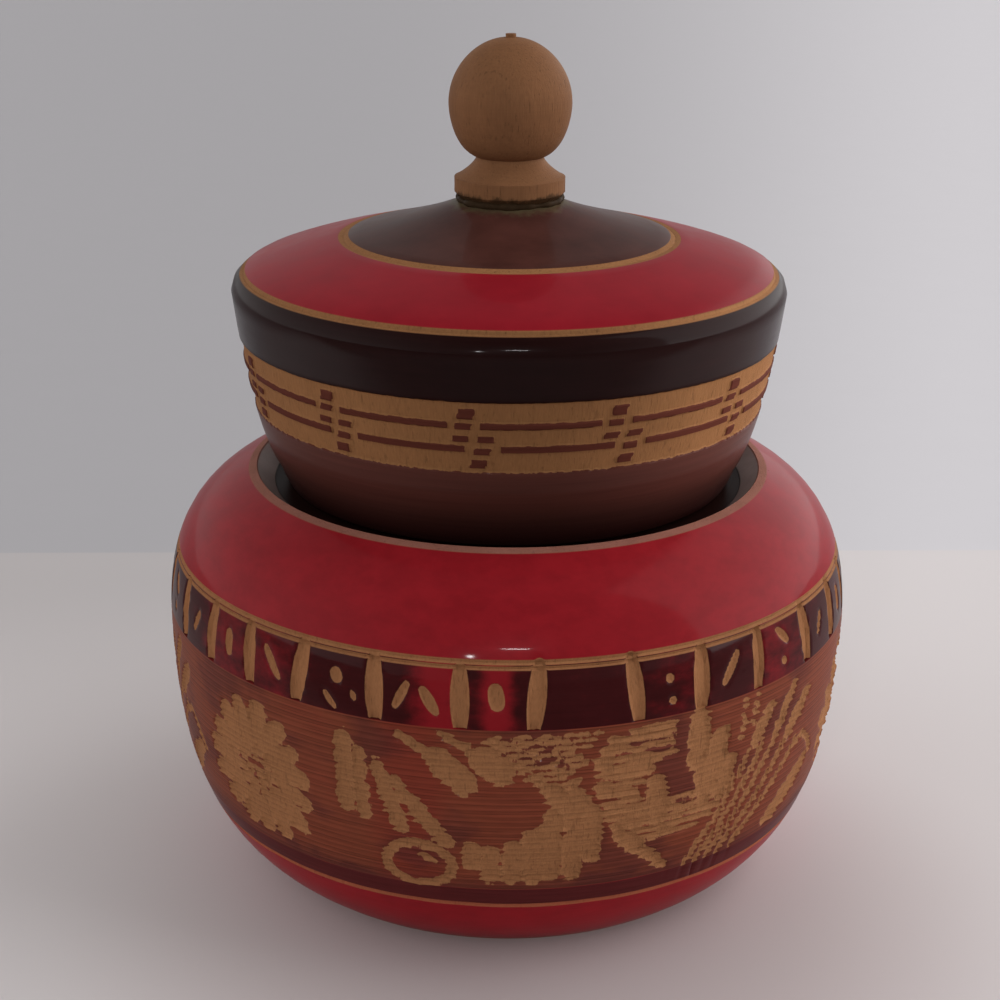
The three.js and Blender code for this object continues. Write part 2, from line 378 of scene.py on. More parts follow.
def carried(graph, name):
    """A number that each point carries."""
    return graph.add("GeometryNodeInputNamedAttribute", {"data_type": "FLOAT"}, {"Name": name})


def sink(graph, geometry, depth):
    """Moves points in, square to the surface."""
    normal = graph.add("GeometryNodeInputNormal")
    offset = graph.add("ShaderNodeVectorMath", {"operation": "SCALE"}, {0: normal, "Scale": 0 - depth})
    return graph.add("GeometryNodeSetPosition", {}, {"Geometry": geometry, "Offset": offset})


def end_tree(graph, given, geometry):
    """Ends a tree in real geometry that wears the given material."""
    real = graph.add("GeometryNodeRealizeInstances", {}, {"Geometry": geometry})
    worn = graph.add("GeometryNodeSetMaterial", {}, {"Geometry": real, "Material": given.also("Material")})
    out = graph.tree.nodes.new("NodeGroupOutput")
    graph.tree.links.new(worn.socket, out.inputs["Geometry"])
    return graph.tree


def turning_tree():
    """Sweeps an outline round the axis and joins the seam and the poles."""
    graph, given = geometry_tree("Turned form", ["Columns"], ["Turning Radius"])
    outline = graph.add("GeometryNodeMeshToCurve", {}, {"Mesh": given})
    circle = graph.add("GeometryNodeCurvePrimitiveCircle", {},
                       {"Resolution": given.also("Columns"), "Radius": given.also("Turning Radius")})
    swept = graph.add("GeometryNodeCurveToMesh", {}, {"Curve": circle, "Profile Curve": outline})
    joined = graph.add("GeometryNodeMergeByDistance", {}, {"Geometry": swept, "Distance": MM / 1000})
    return end_tree(graph, given, joined)


def carving_tree():
    """Sinks a surface by the depth that each of its points carries."""
    graph, given = geometry_tree("Carved surface")
    return end_tree(graph, given, sink(graph, given, carried(graph, "depth")))


# The key: an arm to the right from a bar that rises from the lower edge, then the same turned half round.
# Places along the side are in degrees from the hook's corner, and heights are above the frieze's foot. A bar
# leans by so many degrees a millimetre, and its blocks are given in millimetres.
KEY_ARMS = ((2.5, 26.2, 7.7 * MM, 8.8 * MM), (6.3, 29.4, 3.6 * MM, 4.8 * MM))
KEY_BARS = ((1.5, 0.33, ((0.8, 2.3), (3.2, 4.4), (5.4, 6.5))),
            (26.8, 0.28, ((5.4, 6.5), (7.6, 8.7), (9.4, 11.2))))
KEY_BAR_WIDTH = 3.2
KEY_LEAD = -8.0
KEY_PITCH = 30
KEY_EDGE = 0.12 * MM


def key_tree():
    """Sinks the frieze's floor round the lid and leaves its hooks standing."""
    graph, given = geometry_tree("Key frieze", ["Hooks"], ["Frieze Foot", "Frieze Top", "Radius", "Depth"])
    x, y, z = graph.axes(graph.add("GeometryNodeInputPosition"))
    place = (x / MM, y / MM, z / MM)
    wobble = (graph.noise(place, 0.7, 0.7, 2) - 0.5) * (0.3 * MM)
    height = z - given.also("Frieze Foot") + wobble
    turned = graph.math("ARCTAN2", x, 0 - y) * (180 / math.pi) - KEY_LEAD
    pitch = 360 / given.also("Hooks")
    share = pitch / KEY_PITCH
    arc = given.also("Radius") * (math.pi / 180)

    def inside(centre, half, low, high, lean=0.0):
        """How far a point lies inside a block of the key."""
        middle = turned - centre * share - lean * (height / MM)
        across = half * share - graph.from_middle(middle, pitch)
        upward = (high - low) / 2 - abs(height - (high + low) / 2)
        return graph.math("MINIMUM", across * arc + wobble, upward)

    blocks = [inside((start + end) / 2, (end - start) / 2, low, high) for start, end, low, high in KEY_ARMS]
    for centre, lean, heights in KEY_BARS:
        blocks += [inside(centre, KEY_BAR_WIDTH / 2, low * MM, high * MM, lean) for low, high in heights]
    spikes = (graph.noise(place, 1.1, 0.05, 2, 0.7) - 0.5) * (0.9 * MM)
    above = graph.rise(z + spikes - given.also("Frieze Foot"), 0 - KEY_EDGE, KEY_EDGE)
    below = graph.rise(given.also("Frieze Top") - z + wobble * 0.5, 0 - KEY_EDGE, KEY_EDGE)
    around = 1 - graph.rise(graph.largest(*blocks), 0 - KEY_EDGE, KEY_EDGE)
    floor = above * below * around * carried(graph, "outside")
    stored = graph.add("GeometryNodeStoreNamedAttribute", {"data_type": "FLOAT", "domain": "POINT"},
                       {"Geometry": given, "Name": "floor", "Value": floor})
    return end_tree(graph, given, sink(graph, stored, floor * given.also("Depth")))


def run_tree(piece, tree, inputs):
    """Makes the piece the plain mesh that a tree gives for these inputs."""
    modifier = piece.modifiers.new(tree.name, "NODES")
    modifier.node_group = tree
    for item in tree.interface.items_tree:
        if item.in_out == "INPUT" and item.name in inputs:
            modifier[item.identifier] = inputs[item.name]
    depsgraph = bpy.context.evaluated_depsgraph_get()
    evaluated = piece.evaluated_get(depsgraph)
    result = bpy.data.meshes.new_from_object(evaluated, preserve_all_data_layers=True, depsgraph=depsgraph)
    piece.modifiers.remove(modifier)
    piece.data = result
    return piece


def curve(points, radius, height, shares, steps):
    """Goes on from the last point along a curve whose two handles lie at shares of its width and height."""
    start = np.array(points[-1])
    end = np.array((radius, height))
    first = start + (end - start) * shares[:2]
    second = start + (end - start) * shares[2:]
    along = np.linspace(0, 1, steps + 1)[1:, None]
    back = 1 - along
    places = back**3 * start + 3 * back**2 * along * first + 3 * back * along**2 * second + along**3 * end
    return points + [tuple(place) for place in places]


class Side:
    """The outside of a piece as one finely drawn line, from which rows of points are taken."""

    def __init__(self, points):
        self.points = np.array(points)
        steps = np.hypot(*np.diff(self.points, axis=0).T)
        self.run = np.concatenate([[0], np.cumsum(steps)])

    def run_at(self, height):
        return np.interp(height, self.points[:, 1], self.run)

    def at(self, runs):
        return np.stack([np.interp(runs, self.run, self.points[:, axis]) for axis in (0, 1)], axis=1)

    def sunk(self, runs, depths):
        """The points at these runs, moved in square to the surface."""
        step = 0.2 * MM
        along = self.at(runs + step) - self.at(runs - step)
        along /= np.linalg.norm(along, axis=1)[:, None]
        inward = np.stack([-along[:, 1], along[:, 0]], axis=1)
        return self.at(runs) + inward * np.array(depths)[:, None]

    def rows(self, coarse, fine):
        """Runs that are evenly spread, except where fine ones are given."""
        fine = np.unique(np.concatenate(fine))
        count = round(self.run[-1] / coarse)
        even = np.linspace(0, self.run[-1], count + 1)
        gaps = np.abs(even[:, None] - fine[None, :]).min(axis=1)
        return np.sort(np.concatenate([even[gaps > coarse / 2], fine, [0, self.run[-1]]]))


def line_rows(side, low, high):
    """The runs of a scribed line's two edges and its bottom."""
    start, end = side.run_at(low), side.run_at(high)
    return np.array([start, (start + end) / 2, end])


def line_depths(side, runs, lines, depth):
    """How deep the scribed lines are at these runs."""
    depths = np.zeros(len(runs))
    for low, high in lines:
        start, _, end = line_rows(side, low, high)
        half = (end - start) / 2
        depths = np.maximum(depths, depth * np.clip(1 - np.abs(runs - start - half) / half, 0, 1))
    return depths


def turned_piece(name, outline, columns, attributes, material):
    """A piece turned from an outline listed anticlockwise, whose points carry attributes."""
    turning_radius = 20 * MM
    places = [(radius - turning_radius, -height, 0) for radius, height in reversed(outline)]
    mesh = bpy.data.meshes.new(name)
    mesh.from_pydata(places, [(i, i + 1) for i in range(len(places) - 1)], [])
    for label, values in attributes.items():
        mesh.attributes.new(label, "FLOAT", "POINT").data.foreach_set("value", list(reversed(values)))
    inputs = {"Columns": columns, "Turning Radius": turning_radius, "Material": material}
    return run_tree(add_object(name, mesh), turning_tree(), inputs)


def smooth(piece, angle):
    """Shades a piece smoothly, except across edges sharper than an angle in degrees."""
    mesh = piece.data
    mesh.polygons.foreach_set("use_smooth", [True] * len(mesh.polygons))
    mesh.set_sharp_from_angle(angle=math.radians(angle))


def settle(piece, node, body):
    """Ties a finished piece to its body and the solid that it replaces, if any."""
    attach(piece, body)
    if node:
        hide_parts(node)


# Carving. A cut runs from one place to another, each an angle in degrees from the front and a height in
# millimetres, and has a half width in millimetres, a share by which its ends narrow, and a share of the
# full depth.
DEGREE = BELLY_RADIUS / MM * math.pi / 180


def cut(start, end, half, narrowing=0.3, deep=1.0):
    return (*start, *end, half, narrowing, deep)


# Rings of petals: how many, their inner and outer ends, their half width, and their turn in petals
PETAL_RINGS = ((15, 6.5, 11.4, 2.2, 0), (10, 3.1, 7.6, 1.35, 0.3), (5, 0.7, 2.3, 0.75, 0))


def flower(centre):
    """Broad petals in two rings round small ones, so close that little lacquer is left between them."""
    cuts = []
    for petals, inner, outer, half, turn in PETAL_RINGS:
        for petal in range(petals):
            direction = 2 * math.pi * (petal + turn) / petals
            reach = outer * (1 + 0.05 * math.cos(3 * direction))
            root = (math.sin(direction) / DEGREE, math.cos(direction))
            tip = (math.sin(direction + 0.16) / DEGREE, math.cos(direction + 0.16))
            cuts.append(cut((centre[0] + inner * root[0], centre[1] + inner * root[1]),
                            (centre[0] + reach * tip[0], centre[1] + reach * tip[1]), half, 0.12))
    return cuts


def rope(start, end, spacing, half, slant, deep=0.8, width=0.34):
    """Short slanting cuts that follow each other like the strands of a rope."""
    across, up = (end[0] - start[0]) * DEGREE, end[1] - start[1]
    length = math.hypot(across, up)
    count = round(length / spacing)
    direction = math.atan2(up, across) + slant
    reach = (half * 1.1 * math.cos(direction) / DEGREE, half * 1.1 * math.sin(direction))
    cuts = []
    for strand in range(count + 1):
        middle = [a + (b - a) * (strand / count) for a, b in zip(start, end)]
        low = (middle[0] - reach[0], middle[1] - reach[1])
        high = (middle[0] + reach[0], middle[1] + reach[1])
        cuts.append(cut(low, high, spacing * width, 0.2, deep))
    return cuts


def path(places, half):
    """Cuts that follow each other from place to place."""
    return [cut(a, b, half, 0.0, 0.8) for a, b in zip(places, places[1:])]


def loop(centre, across, up, half, count):
    """A ring of short cuts."""
    turns = [2 * math.pi * i / count for i in range(count + 1)]
    return path([(centre[0] + across / DEGREE * math.cos(turn), centre[1] + up * math.sin(turn))
                 for turn in turns], half)


# The crescent's upright teeth, each by its angle and the heights of its ends
CRESCENT_TEETH = ((-5.3, 26.1, 23.4), (-2.4, 25.7, 20.9), (0.9, 26.4, 20.9), (4.0, 29.1, 20.9),
                  (7.0, 32.4, 21.1), (10.0, 34.3, 21.4), (12.9, 33.2, 24.6))
# The wing's level strokes from the top down, each from angle to angle
WING_ROWS = ((18.6, 25.6), (15.5, 25.3), (14.2, 25.5), (13.6, 25.8), (14.4, 23.2), (13.2, 21.8), (13.6, 20.2),
             (14, 19.6), (14.4, 19.8), (14.8, 34), (15.6, 35), (16.8, 34.8), (18.2, 33.4), (20.6, 31.4))
ROPES = (((30.4, 18.6), (40.6, 37.4)), ((32.6, 18.5), (43.6, 37.6)), ((34.8, 18.5), (46.6, 37.2)),
         ((37.2, 18.7), (49.8, 36.2)), ((40.2, 19.2), (53.0, 34.2)))


def belly_cuts():
    """One composition of flower, leaves, ring, crescent, wing and ropes, a third of the way round."""
    cuts = flower((-43.5, 32.3))
    cuts += [cut((-25.1, 45.2), (-24.9, 32.3), 1.85, 0.2), cut((-22.7, 42.4), (-22, 31), 1.4, 0.15)]
    cuts += [cut((-19.7, 40.6), (-16.1, 29.3), 1.5, 0.2), cut((-17, 38), (-9, 27.3), 1.5, 0.15)]
    cuts += loop((-13.8, 22.4), 5.9, 4.3, 0.95, 16) + [cut((-13.4, 24.9), (-11.2, 23.2), 0.6, 0.5)]
    cuts += [cut((-16.2, 47), (-11.5, 43.9), 0.8, 0.2), cut((-10.2, 43.1), (-6.3, 39), 2.4, 0.05)]
    cuts += [cut((-9.6, 47.7), (-4.6, 44.8), 0.9, 0.2), cut((-3.5, 43.6), (-1.0, 41.2), 2.4, 0.05)]
    cuts += rope((-2.3, 47.4), (6.2, 38.6), 1.7, 1.25, 1.1) + rope((1.9, 47.4), (9.4, 39.2), 1.7, 1.25, 1.1)
    cuts += rope((5.4, 47.4), (11, 42.4), 1.7, 1.1, 1.1)
    cuts += [cut((6.4, 38), (9.6, 33.6), 1.7, 0.1), cut((9.8, 38), (13, 33.4), 1.6, 0.1)]
    for row in range(3):
        for column in range(3):
            left = 8.6 + 2.1 * column - 0.8 * row
            cuts.append(cut((left, 47.8 - 1.1 * row), (left + 1, 47.8 - 1.1 * row), 0.42, 0, 0.7))
    for across, top, bottom in CRESCENT_TEETH:
        cuts.append(cut((across, top), (across, bottom), 1.9, 0.05))
    for row, (left, right) in enumerate(WING_ROWS):
        cuts.append(cut((left, 47.3 - 1.6 * row), (right, 47.4 - 1.6 * row), 0.8, 0.05, 0.85))
    cuts += [cut((23.2, 37.0), (24.2, 30), 2.0, 0.2), cut((17.6, 28.2), (21.6, 23.9), 1.9, 0.25),
             cut((20.4, 25.2), (26.9, 18.6), 1.25, 0.75)]
    cuts += [cut((30.4, 46.8), (30.2, 39.4), 2.2, 0.15), cut((34.6, 43), (33, 33.4), 2.2, 0.2),
             cut((31, 38.6), (32, 31), 1.7, 0.1), cut((36.6, 37.4), (34.6, 30.8), 1.8, 0.25)]
    for foot, head in ROPES:
        cuts += rope(foot, head, 1.75, 1.05, 0.5, 0.8, 0.3)
    cuts += [cut((41.8, 38.6), (45.2, 44.3), 1.6, 0.2), cut((46.8, 38.4), (51.4, 46.1), 1.5, 0.2),
             cut((50.8, 37), (55.8, 42.6), 1.5, 0.2), cut((49.2, 20.2), (58.2, 28.4), 2.4, 0.3)]
    cuts += path(((53, 33.2), (55.8, 34.8), (58.4, 32.6), (60.4, 29.4)), 0.7)
    cuts += rope((39.2, 47.6), (38.7, 41), 1.45, 0.5, 1.2) + rope((41.9, 47.8), (41.2, 42.8), 1.45, 0.5, 1.2)
    return cuts


# The notch band: the angles of its uprights, those that stand above its upper edge, and its loose leaflets
UPRIGHT_ANGLES = (-54, -43.5, -33, -20, -7, 4.2, 19.5, 30.5, 42, 55)
PROUD_ANGLES = (4.2, 19.5)
LEAFLETS = (((-39.8, 56.2), (-36.9, 51.9), 0.85), ((-14.9, 55.4), (-16.6, 51.6), 0.85),
            ((-23.6, 52.6), (-23.2, 51.6), 0.6), ((-28.2, 51.8), (-26.4, 49.6), 0.6),
            ((-12.4, 54.8), (-10.4, 51.4), 0.95), ((37.7, 56.2), (34.9, 51.9), 0.85),
            ((47.2, 57.0), (49.4, 54.6), 0.8), ((48.3, 51.9), (48.7, 51.3), 0.8),
            ((-60.2, 52.2), (-58.8, 55.4), 0.75), ((25.0, 51.2), (25.3, 51.0), 0.9))


def notch_cuts():
    """Upright cuts with dots, ovals and loose leaflets between them, a third of the way round."""
    cuts = []
    for number, angle in enumerate(UPRIGHT_ANGLES):
        lean = 0.5 * math.sin(2.3 * number)
        top = 59.5 if angle in PROUD_ANGLES else 58.6
        cuts.append(cut((angle - lean, top), (angle + lean, 49.2), 1.6, 0.3))
    cuts += [cut(tip, root, half, 0.3, 0.8) for tip, root, half in LEAFLETS]
    cuts += [cut((-26.5, 55.3), (-26.3, 54.8), 1.1, 0, 0.8), cut((25, 55.2), (25, 55.1), 0.8, 0, 0.7)]
    cuts += [cut((-1.9, 55.2), (-1.6, 53), 1.45, 0.1), cut((-48.9, 55.4), (-48.6, 52.6), 1.15, 0.1, 0.8)]
    return cuts


# How often the carving repeats round the bowl
REPEATS = 3
BELLY_SEED = 4
NOTCH_SEED = 7
TEAR_SEED = 11
# The spread of a cut's place in degrees and millimetres, and of its width
HAND_SPREAD = (0.12, 0.12, 0.05)
# The millimetres noted for a point outside all cuts, and how far round a cut its points are looked for
FAR_OUTSIDE = -5.0
CUT_REACH = 4
# Millimetres from a cut's edge to its flat floor
CUT_WALL = 0.55
# Cuts up to this share of the full depth are fine ones, whose edges stay clean
FINE_SHARE = 0.82
TEAR_ROWS = 64
TEARS_A_ROW = 200


def carve(angles, heights, cuts, seed):
    """How far each point lies inside a cut in millimetres, and the share of the full depth cut there."""
    dice = np.random.default_rng(seed)
    edges = np.full(len(angles), FAR_OUTSIDE)
    shares = np.zeros(len(angles))
    for repeat in range(REPEATS):
        for from_angle, from_height, to_angle, to_height, half, narrowing, deep in cuts:
            shift, lift, swell = dice.normal(0, HAND_SPREAD)
            middle = (from_angle + to_angle) / 2 + shift + 360 / REPEATS * repeat
            across = ((angles - middle + 180) % 360 - 180) * DEGREE
            up = heights - (from_height + to_height) / 2 - lift
            reach = np.array(((to_angle - from_angle) * DEGREE, to_height - from_height)) / 2
            length = max(float(np.hypot(*reach)), 1e-6)
            near = (np.abs(across) < abs(reach[0]) + CUT_REACH) & (np.abs(up) < abs(reach[1]) + CUT_REACH)
            near = np.nonzero(near)[0]
            across, up = across[near], up[near]
            along = np.clip((across * reach[0] + up * reach[1]) / length**2, -1, 1)
            away = np.hypot(across - along * reach[0], up - along * reach[1])
            inside = half * (1 + swell) * (1 - narrowing * along**2) - away
            better = near[inside > edges[near]]
            edges[better] = inside[inside > edges[near]]
            shares[better] = deep
    return edges, shares


def tears(angles, heights, spacing, amount):
    """How far the gouge slips from row to row, so that a cut's edge is ragged like a comb."""
    dice = np.random.default_rng(TEAR_SEED)
    table = dice.normal(0, amount, (TEAR_ROWS, TEARS_A_ROW))
    row = np.round((heights - GROOVES[0] / MM) / spacing).astype(int) % TEAR_ROWS
    place = (angles % 360) / 360 * TEARS_A_ROW
    cell = np.floor(place).astype(int)
    share = place - cell
    return table[row, cell % TEARS_A_ROW] * (1 - share) + table[row, (cell + 1) % TEARS_A_ROW] * share


def points_of(mesh):
    places = np.zeros(len(mesh.vertices) * 3, np.float32)
    mesh.vertices.foreach_get("co", places)
    return places.reshape(-1, 3).astype(float)


def read_attribute(mesh, name):
    values = np.zeros(len(mesh.vertices), np.float32)
    mesh.attributes[name].data.foreach_get("value", values)
    return values.astype(float)


def write_attribute(mesh, name, values):
    attribute = mesh.attributes.get(name) or mesh.attributes.new(name, "FLOAT", "POINT")
    attribute.data.foreach_set("value", values.astype(np.float32))


# Colours inside the finishes
REDDENED_BROWN = paint(124, 50, 38)
DUSKY_BROWN = paint(70, 33, 36)
STRIP_BROWN = paint(79, 29, 29)
# Light grey of the mouth's bevel: a painted reflection of the room in its dark lacquer
BEVEL_PAINTED_REFLECTION = paint(158, 135, 129)
# Near black of the ledge and the top of the bore under the lid: painted shadow
LEDGE_PAINTED_SHADOW = paint(30, 14, 12)
LIP_GREY = paint(127, 80, 81)
LOWER_LID_BROWN = paint(82, 45, 38)
KEY_BROWN = paint(84, 43, 34)
# Olive of the glue smear on the crown, lightened as a painted sheen
SMEAR_OLIVE_AND_SHEEN = paint(84, 76, 54)

# Places round a piece, each an angle and a half width in degrees and a strength: where the bowl's lacquer
# changes, and on the lid where light and shade are painted
BLUSHES = ((-10, 7, 1.1), (-1.5, 4, 1.2), (-38, 9, 0.45), (-50, 12, 0.5), (27, 9, 0.25), (47, 12, 0.45),
           (100, 18, 0.6), (-110, 22, 0.5), (165, 16, 0.7))
REDDENINGS = ((-15, 9, 0.5), (-7, 20, 0.16), (-30, 30, 0.1))
# Painted light and shade on the lid: lighter on the right and behind, darker at the front
LID_PAINTED_LIGHT = ((57, 50, 0.35), (5, 40, -0.2), (175, 60, 0.25))


def bowl_finish(settings):
    """Lacquer in bands, cut through to bare wood."""
    finish = Finish("Carved bowl")
    x, y, height = finish.place
    level = height + (finish.cloudy(0.09, 0.3, 2) - 0.5) * 0.5
    streaks = finish.cloudy(0.07, 2.2, 4, 0.65)
    cloud = finish.cloudy(0.06, 0.09, 3, 0.55)
    mottle = finish.cloudy(0.22, 0.4, 4, 0.6)
    dark = finish.shade(settings.dark, 0.35 + 0.5 * cloud + 0.4 * mottle + 0.5 * streaks)
    blush = finish.rise(finish.patches(BLUSHES) + (mottle - 0.5) * 1.2, 0.05, 1.05)
    redness = finish.rise(finish.patches(REDDENINGS) + cloud - 0.5, 0.06, 0.6)
    dusk = finish.rise(cloud, 0.5, 0.36) + 1 - finish.rise(height, 17.5, 22)
    dusk = finish.math("MINIMUM", dusk * 0.45, 0.6)
    brown = finish.layers(settings.brown, (redness * 0.7, REDDENED_BROWN), (dusk, DUSKY_BROWN))
    blotch = finish.rise(finish.cloudy(0.11, 0.2, 4, 0.7), 0.35, 0.65)
    # The red is lighter towards the foot: painted light
    low = 1 - finish.rise(height, 10, 18)
    red = finish.shade(settings.red, 0.72 + 0.25 * cloud + 0.2 * mottle + 0.12 * blotch + 0.16 * low)
    in_grooves = finish.band(height, *GROOVES)
    mouth = finish.attribute("inside")
    bevel = finish.rise(mouth, 0.02, 0.08)
    notch_colour = finish.mix(blush * 0.9, dark, settings.red)
    colour = finish.layers(
        red,
        (finish.band(level, *DARK_STRIP), finish.shade(STRIP_BROWN, 0.5 + streaks)),
        (in_grooves, finish.shade(brown, 0.62 + 0.5 * streaks + 0.3 * mottle)),
        (finish.band(height, NOTCH_BAND[0], SHOULDER_LINES[1][0]), notch_colour),
        # Painted reflection on the mouth's bevel
        (bevel, finish.shade(BEVEL_PAINTED_REFLECTION, 0.7 + 0.6 * mottle)),
        # Painted shadow on the ledge under the lid
        (finish.rise(mouth, 0.9, 0.99), LEDGE_PAINTED_SHADOW))
    hairline = finish.rise(finish.attribute("groove"), 0.35, 0.95)
    turns = (height - GROOVES[0] / MM) * (MM / settings.groove_pitch)
    scratch = 1 - finish.rise(finish.from_middle(turns * 2 + 0.5, 1), 0.05, 0.25)
    scratch = scratch * in_grooves * finish.rise(finish.cloudy(0.08, 1.9, 3), 0.36, 0.6)
    colour = finish.shade(colour, 1 - 0.26 * hairline * (0.2 + 1.2 * streaks) - 0.34 * scratch)
    slip = finish.noise((x, y, finish.math("FLOOR", turns + 0.5)), 0.9, 3.3, 2, 0.6)
    comb = (slip - 0.5) * 0.85 + 0.14 - 0.55 * finish.from_middle(turns, 1)
    grain = finish.cloudy(1.8, 1.2, 3, 0.7) - 0.5
    ragged = in_grooves * comb + grain * finish.blend(in_grooves, 0.15, 0.6)
    bare = finish.rise(finish.attribute("carved") + ragged, -0.04, 0.1)
    lines = [finish.band(height, *line) for line in SHOULDER_LINES]
    lip = finish.band(height, MOUTH_LINE, LIP_HEIGHT + MM)
    bare = finish.largest(bare, 0.55 * finish.band(level, *BASE_LINE), *lines, lip) * (1 - bevel)
    bare = finish.largest(bare, finish.rise(mouth, 1.5, 1.6), 1 - finish.rise(height, 0.15, 0.5))
    wood, fibre = finish.wood(settings.wood, 1.3)
    stain = hairline * finish.rise(slip + 0.6 * streaks, 0.62, 0.95)
    wood = finish.shade(wood, 1 - 0.2 * stain - 0.13 * scratch)
    greyed = finish.shade(LIP_GREY, 0.6 + 0.8 * mottle)
    colour = finish.layers(colour, (bare, wood), (lip * (1 - bevel) * 0.6, greyed))
    roughness = finish.blend(bare, 0.24 + 0.12 * mottle + in_grooves * 0.16, 0.65)
    relief = finish.blend(bare, 0.02 * streaks, 0.1 * fibre - 0.05) - 0.03 * scratch
    banded = finish.band(height, NOTCH_BAND[0], SHOULDER_LINES[0][0])
    return finish.finish(colour, roughness, relief, (0.085 + 0.075 * banded) * (1 - bare) * (1 - bevel))


def lid_finish(settings):
    """Dark and red lacquer with bare lines and a bare frieze floor."""
    finish = Finish("Lid with key frieze")
    height = finish.place[2]
    foot, top = FRIEZE[0] / MM, FRIEZE[1] / MM
    streaks = finish.cloudy(0.04, 1.6, 4, 0.6)
    cloud = finish.cloudy(0.06, 0.09, 3, 0.55)
    mottle = finish.cloudy(0.22, 0.4, 4, 0.6)
    dark = finish.shade(settings.dark, 0.6 + 0.4 * streaks + 0.4 * mottle)
    # The lower side darkens towards the lid's base: painted shade where the lid sinks into the bowl's mouth
    lower = finish.mix(finish.rise(height, LID_BASE / MM, foot), settings.dark, LOWER_LID_BROWN)
    frieze = finish.band(height, *FRIEZE)
    crown = finish.rise(height, RIM_LINE[1] / MM - 0.3, RIM_LINE[1] / MM)
    disc = crown * (1 - finish.rise(finish.radius, CROWN_RING[0] / MM, CROWN_RING[0] / MM + 0.2))
    # Glue smear round the knob's seat, partly a painted sheen in its lighter olive
    smear_and_sheen = disc * (1 - finish.rise(finish.radius + 5 * finish.cloudy(0.35, 0.35, 3, 0.7), 11.4, 14))
    colour = finish.layers(
        finish.shade(lower, 0.75 + 0.5 * streaks),
        (finish.rise(height, foot, foot + 1), dark),
        (frieze, finish.shade(KEY_BROWN, 0.7 + 0.6 * streaks)),
        (crown, finish.shade(settings.red, 0.7 + 0.3 * cloud + 0.3 * mottle)),
        (disc, finish.shade(settings.brown, 0.3 + 0.7 * cloud + 0.8 * mottle)),
        (smear_and_sheen * 0.7, finish.shade(SMEAR_OLIVE_AND_SHEEN, 0.4 + 1.2 * mottle)))
    sunk = finish.rise(finish.attribute("floor") + (finish.cloudy(2.4, 0.8, 3, 0.7) - 0.5) * 0.3, 0.42, 0.58)
    ring = crown * finish.band(finish.radius, *CROWN_RING)
    outside = finish.attribute("outside")
    bare = finish.largest(finish.band(height, *RIM_LINE), ring, sunk) * outside
    bare = finish.largest(bare, 1 - finish.rise(outside, 0.4, 0.6))
    wood, fibre = finish.wood(settings.wood)
    colour = finish.mix(bare, colour, wood)
    # Painted light and shade round the lid below the crown
    colour = finish.shade(colour, 1 + finish.patches(LID_PAINTED_LIGHT) * (1 - crown))
    roughness = finish.blend(bare, 0.26 + 0.12 * mottle + 0.3 * frieze, 0.65)
    relief = finish.blend(bare, 0.02 * streaks, 0.1 * fibre - 0.05)
    side = finish.rise(height, top, top + 1)
    side = side * (1 - finish.rise(height, RIM_HEIGHT / MM - 2.5, RIM_HEIGHT / MM))
    return finish.finish(colour, roughness, relief, (0.08 + 0.26 * side) * (1 - frieze) * (1 - bare))


def knob_finish(settings):
    """Bare wood, stained with glue at its foot, which also holds painted shadow under the flange."""
    finish = Finish("Turned knob")
    wood, fibre = finish.wood(settings.wood)
    rings = finish.cloudy(0.1, 4.0, 2)
    colour = finish.shade(wood, 0.72 + 0.16 * rings + 0.4 * finish.cloudy(0.12, 0.05, 3, 0.6))
    # Glue stain at the foot, and painted shadow there and under the flange
    foot = finish.place[2] + 3.4 * finish.cloudy(0.5, 0.3, 3, 0.7)
    foot = 1 - finish.rise(foot, KNOB_BASE / MM + 2.6, KNOB_BASE / MM + 3.6)
    colour = finish.mix(foot * 0.8, colour, settings.glue)
    return finish.finish(colour, finish.blend(rings, 0.45, 0.6), 0.06 * fibre)


def glue_finish(settings):
    finish = Finish("Glue bead")
    cloud = finish.cloudy(0.8, 0.8, 3)
    return finish.finish(finish.shade(settings.glue, 0.5 + cloud), 0.45 + 0.2 * cloud, 0.1 * cloud)


# Heights between the rows of points in the notch band, and where they end above it
NOTCH_ROW = 0.6 * MM
NOTCH_ROWS_END = 62.5 * MM


